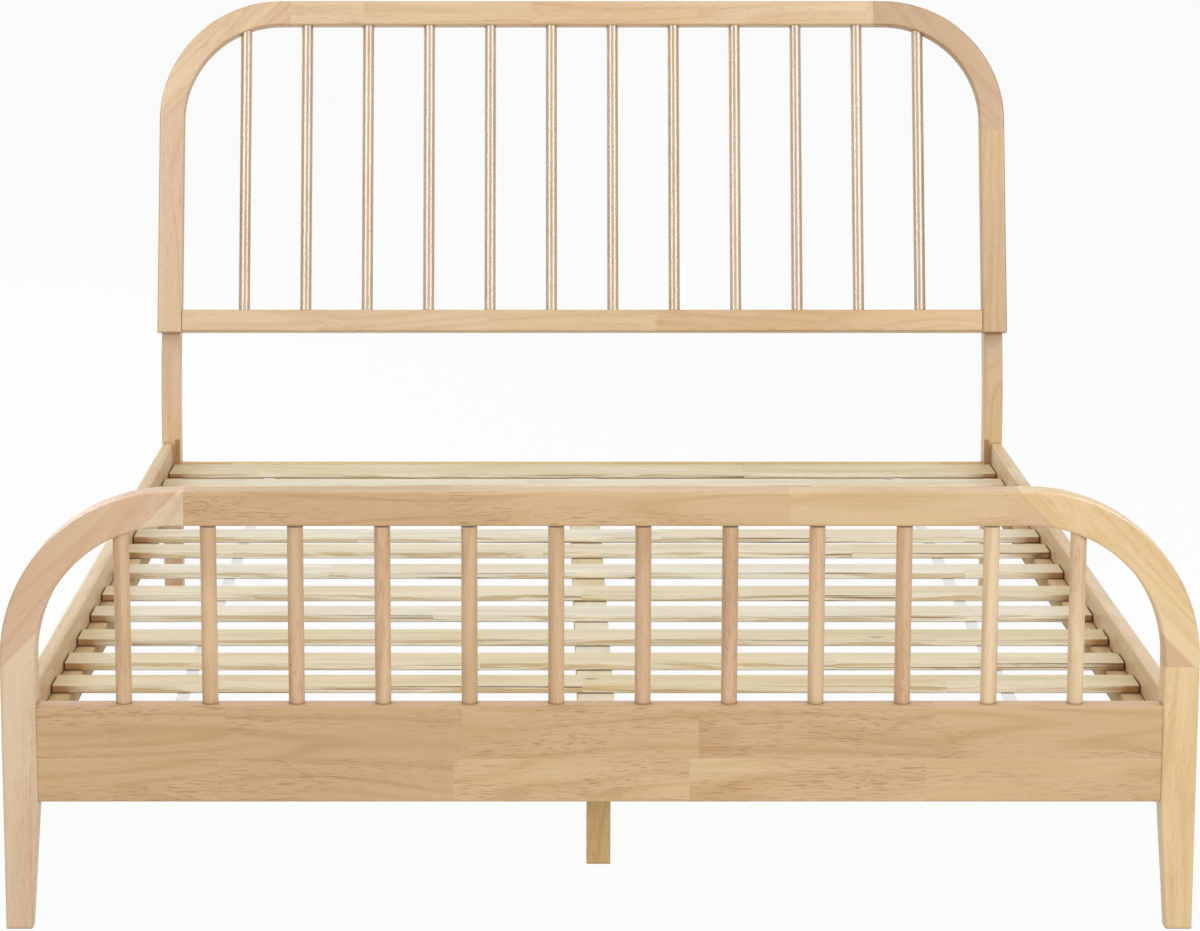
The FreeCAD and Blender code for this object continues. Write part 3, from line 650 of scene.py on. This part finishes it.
# Ledger strips: a darker copy of the bare wood as painted shade under the slats, with wider and darker
# painted shade where the slats cover them
LEDGER_WOOD = replace(
    BARE_WOOD, tones=((188, 157, 114), (196, 166, 122), (202, 174, 130), (206, 180, 138)),
    blush=(196, 164, 122), shade_reach=0.03, shade_share=0.8)
SLAT_WOOD = Timber(
    tones=((208, 191, 148), (219, 204, 167), (226, 213, 183), (229, 220, 196), (232, 227, 212)),
    blush=(225, 212, 183), sawn_and_shade=((214, 190, 142), (252, 244, 222)), pore=(176, 146, 104), knot=(104, 70, 42),
    pore_share=0.3, figure_share=0.055, rings=3.0, streak=(4.0, 170.0), roughness=0.6, coat=0.0,
    shade_share=0.72)
# The centre rail takes wider painted shade where the slats cover it
SUPPORT_WOOD = replace(SLAT_WOOD, shade_reach=0.02)
BROWN_ENAMEL = Metal(tones=((158, 118, 74), (178, 138, 92)), metallic=0.0, roughness=0.45)
ZINC = Metal(tones=((172, 174, 176), (206, 207, 208)), metallic=1.0, roughness=0.34)
WHITE_WEBBING = Webbing(tones=((226, 226, 224), (250, 250, 248)), thread=0.0018)


def dress(node: str, material: bpy.types.Material) -> None:
    """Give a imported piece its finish.

    Args:
        node: Name of the piece.
        material: The finish.
    """
    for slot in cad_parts[node].material_slots:
        slot.material = material
    log.info("dressed %s", node)


@dataclass
class Board:
    """Finishes of the headboard or the footboard.

    Attributes:
        name: First part of the pieces' names.
        timber: Wood of its frame.
        cuts: How each piece was cut, by the last part of its name.
        special: Pieces of another wood, by the last part of the name.
    """

    name: str
    timber: Timber
    cuts: dict[str, Cut]
    special: dict[str, Timber]

    def dress(self) -> None:
        """Give every piece of the board its own staves."""
        for piece, cut in self.cuts.items():
            node = f"{self.name}_{piece}"
            dress(node, self.special.get(piece, self.timber).material(node, cut))


FOOTBOARD = Board("footboard", HARDWOOD, {
    "top_rail": Cut(Grain.ALONG_X, 48433, length=0.449, end=-0.199, jitter=0.0),
    "lower_rail": Cut(Grain.ALONG_X, 290525, rows=(0.236,), length=0.316, end=-0.485),
    "corner_left": Cut(Grain.ALONG_X, 3169, slant=CORNER_SLANT, rows=(0.819,), length=WHOLE_PIECE, end=-1.4),
    "corner_right": Cut(Grain.ALONG_X, 709, slant=-CORNER_SLANT, rows=(0.8165, 0.836), length=WHOLE_PIECE,
                        end=-1.4),
    "leg_left": Cut(Grain.UPRIGHT, 147, length=0.7, end=-0.2),
    "leg_right": Cut(Grain.UPRIGHT, 39, length=0.7, end=-0.2),
    "spindles": Cut(Grain.UPRIGHT, 353284, length=WHOLE_PIECE, end=-0.2, count=FOOT_SPACING, socket_shadow=0.5492),
}, {"corner_left": PINK_HARDWOOD, "leg_left": PINK_HARDWOOD, "corner_right": GOLDEN_HARDWOOD,
    "leg_right": GOLDEN_HARDWOOD, "spindles": TURNED})
HEADBOARD = Board("headboard", PALE_HARDWOOD, {
    "top_rail": Cut(Grain.ALONG_X, 267134, rake=RAKE, end=-0.401),
    "lower_rail": Cut(Grain.ALONG_X, 64649, rake=RAKE, end=-0.473, finger=0.012),
    "corner_left": Cut(Grain.ALONG_X, 172, rake=RAKE, slant=CORNER_SLANT, rows=(1.387,), length=WHOLE_PIECE,
                       end=-1.4),
    "corner_right": Cut(Grain.ALONG_X, 253, rake=RAKE, slant=-CORNER_SLANT, length=WHOLE_PIECE, end=-1.4),
    "stile_left": Cut(Grain.UPRIGHT, 51807, rake=RAKE, end=1.012, jitter=0.0, finger=0.012),
    "stile_right": Cut(Grain.UPRIGHT, 31987, rake=RAKE, end=1.012, jitter=0.0, finger=0.012),
    "spindles": Cut(Grain.UPRIGHT, 27, rake=RAKE, length=WHOLE_PIECE, end=0.2, count=HEAD_SPACING),
}, {"spindles": GLOSSY_TURNED, "corner_left": BLOND_HARDWOOD, "corner_right": DUSKY_HARDWOOD,
    "stile_left": ROSY_HARDWOOD, "stile_right": OCHRE_HARDWOOD})


@dataclass(frozen=True)
class Batch:
    """Pieces cut alike from one timber.

    Attributes:
        timber: Their wood.
        grain: Direction of the grain.
        names: Names of the pieces.
        length: Length of the glued staves, in metres.
        rows: Places of the glue lines across the grain, in metres.
        fade: How much painted shade darkens a face as it leans back, for each unit of its normal's rise.
    """

    timber: Timber
    grain: Grain
    names: tuple[str, ...]
    length: float = 0.45
    rows: tuple[float, ...] = ()
    fade: float = 0.0


@dataclass
class BaseFrame:
    """Finishes of the legs, rails and ledgers that carry the slats.

    Attributes:
        batches: The pieces, by timber and grain.
        first_seed: Seed of the first piece; each next piece takes the next number.
        end: Place of one joint between staves along the grain, in metres.
    """

    batches: tuple[Batch, ...] = (
        # The head legs take painted shade where they lean back
        Batch(PEACH_HARDWOOD, Grain.UPRIGHT, ("head_leg_left",), WHOLE_PIECE, fade=0.9),
        Batch(YELLOW_HARDWOOD, Grain.UPRIGHT, ("head_leg_right",), WHOLE_PIECE, fade=0.9),
        Batch(CREAM_HARDWOOD, Grain.ALONG_Y, ("side_rail_left", "side_rail_right"), rows=(0.226,)),
        Batch(LEDGER_WOOD, Grain.ALONG_Y, ("ledger_left", "ledger_right")),
        Batch(SUPPORT_WOOD, Grain.ALONG_Y, ("centre_rail",)),
        Batch(BARE_WOOD, Grain.ALONG_X, ("head_cross_rail",)),
        Batch(BARE_WOOD, Grain.UPRIGHT, ("centre_leg_1", "centre_leg_2", "centre_leg_3"), WHOLE_PIECE),
    )
    first_seed: int = 41
    end: float = -0.2

    def dress(self) -> None:
        """Give every piece its own staves."""
        seeds = itertools.count(self.first_seed)
        for batch in self.batches:
            for name in batch.names:
                cut = Cut(batch.grain, next(seeds), rows=batch.rows, length=batch.length, end=self.end,
                          fade=batch.fade)
                dress(name, batch.timber.material(name, cut))


@dataclass
class SlatRoll:
    """The slats and the two straps that tie them together.

    Attributes:
        paleness: How pale each slat is among its timber's tones, from foot to head.
        stray: How far a slat's staves stray from its own paleness.
        first_seed: Seed of the first slat; each next slat takes the next number.
        steps: Divisions of a strap between two slats.
        sag: How far a strap hangs between two slats, in metres.
        body: Body that the roll belongs to.
    """

    paleness: tuple[float, ...] = (
        0.4, 0.4, 0.0, 0.25, 0.3, 0.95, 0.55, 0.8, 0.5, 0.75, 0.5, 0.5, 0.6, 0.0)
    stray: float = 0.2
    first_seed: int = 70
    steps: int = 6
    sag: float = 0.0015
    body: str = "slat_roll"

    def names(self) -> list[str]:
        """Return the slats' names from foot to head."""
        return [f"slat_{index:02d}" for index in range(1, len(self.paleness) + 1)]

    def dress(self) -> None:
        """Give each slat its own boards."""
        for seed, name, pale in zip(itertools.count(self.first_seed), self.names(), self.paleness):
            tint = (max(pale - self.stray, 0.0), min(pale + self.stray, 1.0))
            cut = Cut(Grain.FLAT_X, seed, tint, length=0.52, jitter=1.0, finger=0.007)
            dress(name, SLAT_WOOD.material(name, cut))

    def build_straps(self) -> None:
        """Lay the two straps under the slats."""
        material = WHITE_WEBBING.material("white_webbing")
        for side in ("left", "right"):
            self.build_strap(f"webbing_strap_{side}", f"slat_strap_{side}", material)

    def build_strap(self, name: str, node: str, material: bpy.types.Material) -> None:
        """Lay one strap of webbing, held flat by the slats and hanging a little between them.

        Args:
            name: Name of the new piece.
            node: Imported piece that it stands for.
            material: Its finish.
        """
        low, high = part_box(node)
        mesh = bmesh.new()
        strip = [mesh.edges.new([mesh.verts.new((x, low.y, high.z)) for x in (low.x, high.x)])]
        reach, level = low.y, 0.0
        for place, drop in self.stations(low.y, high.y):
            made = bmesh.ops.extrude_edge_only(mesh, edges=strip)["geom"]
            corners = [item for item in made if isinstance(item, bmesh.types.BMVert)]
            bmesh.ops.translate(mesh, verts=corners, vec=(0.0, place - reach, level - drop))
            strip = [item for item in made if isinstance(item, bmesh.types.BMEdge)]
            reach, level = place, drop
        bmesh.ops.recalc_face_normals(mesh, faces=mesh.faces[:])
        piece = finish_piece(mesh, name, material)
        wall = piece.modifiers.new("Thickness", "SOLIDIFY")
        wall.thickness = high.z - low.z
        wall.offset = 1.0 if piece.data.polygons[0].normal.z < 0 else -1.0
        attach(piece, self.body)
        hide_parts(node)
        self.names()
        log.info("built %s", name)

    def stations(self, start: float, end: float) -> list[tuple[float, float]]:
        """Find where a strap bends.

        Args:
            start: Where the strap starts along the bed.
            end: Where it ends.

        Returns:
            Places along the bed, each with how far the strap hangs there.
        """
        found: list[tuple[float, float]] = []
        boxes = [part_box(name) for name in self.names()]
        for (_, back), (front, _) in zip(boxes, boxes[1:]):
            gap = front.y - back.y
            for step in range(self.steps + 1):
                share = step / self.steps
                found.append((back.y + gap * share, self.sag * math.sin(math.pi * share)))
        found.append((end, 0.0))
        return [station for station in found if station[0] > start + 1e-6]


def finish_piece(mesh: bmesh.types.BMesh, name: str, material: bpy.types.Material) -> bpy.types.Object:
    """Turn a bmesh into an object of the scene.

    Args:
        mesh: The shape, which is freed.
        name: Name of the object.
        material: Its finish.

    Returns:
        The new object, at the origin.
    """
    data = bpy.data.meshes.new(name)
    mesh.to_mesh(data)
    mesh.free()
    data.materials.append(material)
    piece = bpy.data.objects.new(name, data)
    bpy.context.scene.collection.objects.link(piece)
    return piece


@dataclass
class Hardware:
    """Steel plates, brackets, bolts and screws.

    Attributes:
        plates: Enamelled pieces.
        zinc: Zinc-plated pieces.
    """

    plates: tuple[str, ...] = ("head_leg_plates",)
    zinc: tuple[str, ...] = ("panel_bolts", "rail_bolts", "barrel_nuts", "bracket_screws", "foot_brackets",
                             "centre_rail_seats", "seat_screws")

    def dress(self) -> None:
        """Give every piece of steel its finish."""
        enamel = BROWN_ENAMEL.material("brown_enamel")
        plated = ZINC.material("zinc_plate")
        for node in self.plates:
            dress(node, enamel)
        for node in self.zinc:
            dress(node, plated)


@dataclass(frozen=True)
class Softbox:
    """A rectangular studio light.

    Attributes:
        name: Name of the light.
        place: Where it hangs, in metres.
        aim: Point that it faces.
        size: Width and height, in metres.
        power: Power in watts.
        gloss_only: Whether it only makes highlights.
    """

    name: str
    place: tuple[float, float, float]
    aim: tuple[float, float, float]
    size: tuple[float, float]
    power: float
    gloss_only: bool = False

    def build(self) -> None:
        """Hang the light."""
        lamp = bpy.data.lights.new(self.name, "AREA")
        lamp.shape = "RECTANGLE"
        lamp.size, lamp.size_y = self.size
        lamp.energy = self.power
        holder = bpy.data.objects.new(self.name, lamp)
        holder.location = self.place
        holder.rotation_euler = (Vector(self.aim) - Vector(self.place)).to_track_quat("-Z", "Y").to_euler()
        holder.visible_diffuse = not self.gloss_only
        bpy.context.scene.collection.objects.link(holder)


@dataclass
class Studio:
    """White floor, soft light and the camera at the photograph's place.

    Attributes:
        floor_reach: Half the floor's side, in metres.
        floor_tone: Share of light that the floor throws back.
        floor_white: Share of the floor that shows as plain white, so that only a faint shadow stays.
        ambient: Strength of the even light from all round.
        lens: Focal length, in millimetres.
        sensor: Width of the camera's sensor, in millimetres.
        eye: Place of the camera, in metres.
        pitch: How far the camera looks down, in degrees.
        shift: Shift of the picture, as shares of its width.
        lights: The lights.
    """

    floor_reach: float = 60.0
    floor_tone: float = 0.86
    floor_white: float = 0.93
    ambient: float = 0.46
    lens: float = 109.14
    sensor: float = 36.0
    eye: tuple[float, float, float] = (-0.0782, -5.8677, 1.5059)
    pitch: float = 9.74
    shift: tuple[float, float] = (0.0492, -0.0382)
    lights: tuple[Softbox, ...] = (
        Softbox("overhead", (0.0, -0.3, 3.6), (0.0, 0.0, 0.2), (3.4, 3.4), 54.0),
        Softbox("front", (1.2, -6.0, 2.3), (0.0, -0.6, 0.4), (4.6, 2.2), 132.0),
        Softbox("left_strip", (-1.75, -0.7, 1.8), (0.0, 1.0, 0.8), (1.4, 1.1), 56.0, True),
        Softbox("right_strip", (1.75, -0.7, 1.8), (0.0, 1.0, 0.8), (1.4, 1.1), 56.0, True),
        Softbox("rear", (-3.6, 4.6, 2.4), (0.0, 0.8, 0.5), (2.4, 2.2), 70.0),
    )

    def build(self) -> None:
        """Set up the whole studio."""
        self.build_floor()
        self.build_world()
        for light in self.lights:
            light.build()
        self.build_camera()
        bpy.context.scene.view_settings.view_transform = "Standard"
        log.info("built the studio")

    def seen(self, tree: bpy.types.NodeTree) -> Socket:
        """Add a mark for rays from the camera, and from gloss and glass.

        Args:
            tree: Tree to add it to.

        Returns:
            Socket that is 1 for those rays and 0 for light on the object.
        """
        path = tree.nodes.new("ShaderNodeLightPath")
        value = path.outputs["Is Camera Ray"]
        for name in ("Is Glossy Ray", "Is Transmission Ray"):
            most = tree.nodes.new("ShaderNodeMath")
            most.operation = "MAXIMUM"
            tree.links.new(value, most.inputs[0])
            tree.links.new(path.outputs[name], most.inputs[1])
            value = most.outputs[0]
        return value

    def mix(self, tree: bpy.types.NodeTree, share: Socket, lit: str, shown: str,
            output: str) -> list[bpy.types.Node]:
        """Show one shader to the rays that a share marks, and another one to all others.

        Args:
            tree: Tree to add them to.
            share: Socket that marks the rays.
            lit: Type of the shader that the other rays meet.
            shown: Type of the shader that the marked rays meet.
            output: Type of the tree's output.

        Returns:
            Both shaders, lit and shown.
        """
        mixed = tree.nodes.new("ShaderNodeMixShader")
        shaders = [tree.nodes.new(kind) for kind in (lit, shown)]
        for socket, source in zip(mixed.inputs, (share, *(shader.outputs[0] for shader in shaders))):
            tree.links.new(source, socket)
        tree.links.new(mixed.outputs[0], tree.nodes.new(output).inputs["Surface"])
        return shaders

    def build_floor(self) -> None:
        """Lay a plain white floor that keeps a faint shadow."""
        mesh = bmesh.new()
        bmesh.ops.create_grid(mesh, x_segments=1, y_segments=1, size=self.floor_reach)
        material = bpy.data.materials.new("studio_floor")
        material.use_nodes = True
        tree = material.node_tree
        tree.nodes.clear()
        share = tree.nodes.new("ShaderNodeMath")
        share.operation = "MULTIPLY"
        share.inputs[1].default_value = self.floor_white
        tree.links.new(self.seen(tree), share.inputs[0])
        matt, glow = self.mix(tree, share.outputs[0], "ShaderNodeBsdfDiffuse", "ShaderNodeEmission",
                              "ShaderNodeOutputMaterial")
        matt.inputs["Color"].default_value = (self.floor_tone, self.floor_tone, self.floor_tone, 1.0)
        glow.inputs["Strength"].default_value = 1.0
        finish_piece(mesh, "studio_floor", material)

    def build_world(self) -> None:
        """Surround the bed with even light that shows as white."""
        world = bpy.data.worlds.new("studio")
        world.use_nodes = True
        tree = world.node_tree
        tree.nodes.clear()
        shaders = self.mix(tree, self.seen(tree), "ShaderNodeBackground", "ShaderNodeBackground",
                           "ShaderNodeOutputWorld")
        for shader, strength in zip(shaders, (self.ambient, 1.0)):
            shader.inputs["Color"].default_value = (1.0, 1.0, 1.0, 1.0)
            shader.inputs["Strength"].default_value = strength
        bpy.context.scene.world = world

    def build_camera(self) -> None:
        """Put the camera where the photograph was taken."""
        data = bpy.data.cameras.new("camera")
        data.sensor_width = self.sensor
        data.sensor_fit = "HORIZONTAL"
        data.lens = self.lens
        data.shift_x, data.shift_y = self.shift
        data.clip_end = 200.0
        camera = bpy.data.objects.new("camera", data)
        camera.location = self.eye
        camera.rotation_euler = (math.radians(90.0 - self.pitch), 0.0, 0.0)
        bpy.context.scene.collection.objects.link(camera)
        bpy.context.scene.camera = camera


def main() -> None:
    """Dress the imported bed, build what it lacks and set up the studio."""
    logging.basicConfig(level=logging.INFO)
    FOOTBOARD.dress()
    HEADBOARD.dress()
    BaseFrame().dress()
    roll = SlatRoll()
    roll.dress()
    roll.build_straps()
    Hardware().dress()
    Studio().build()


if __name__ == "__main__":
    main()
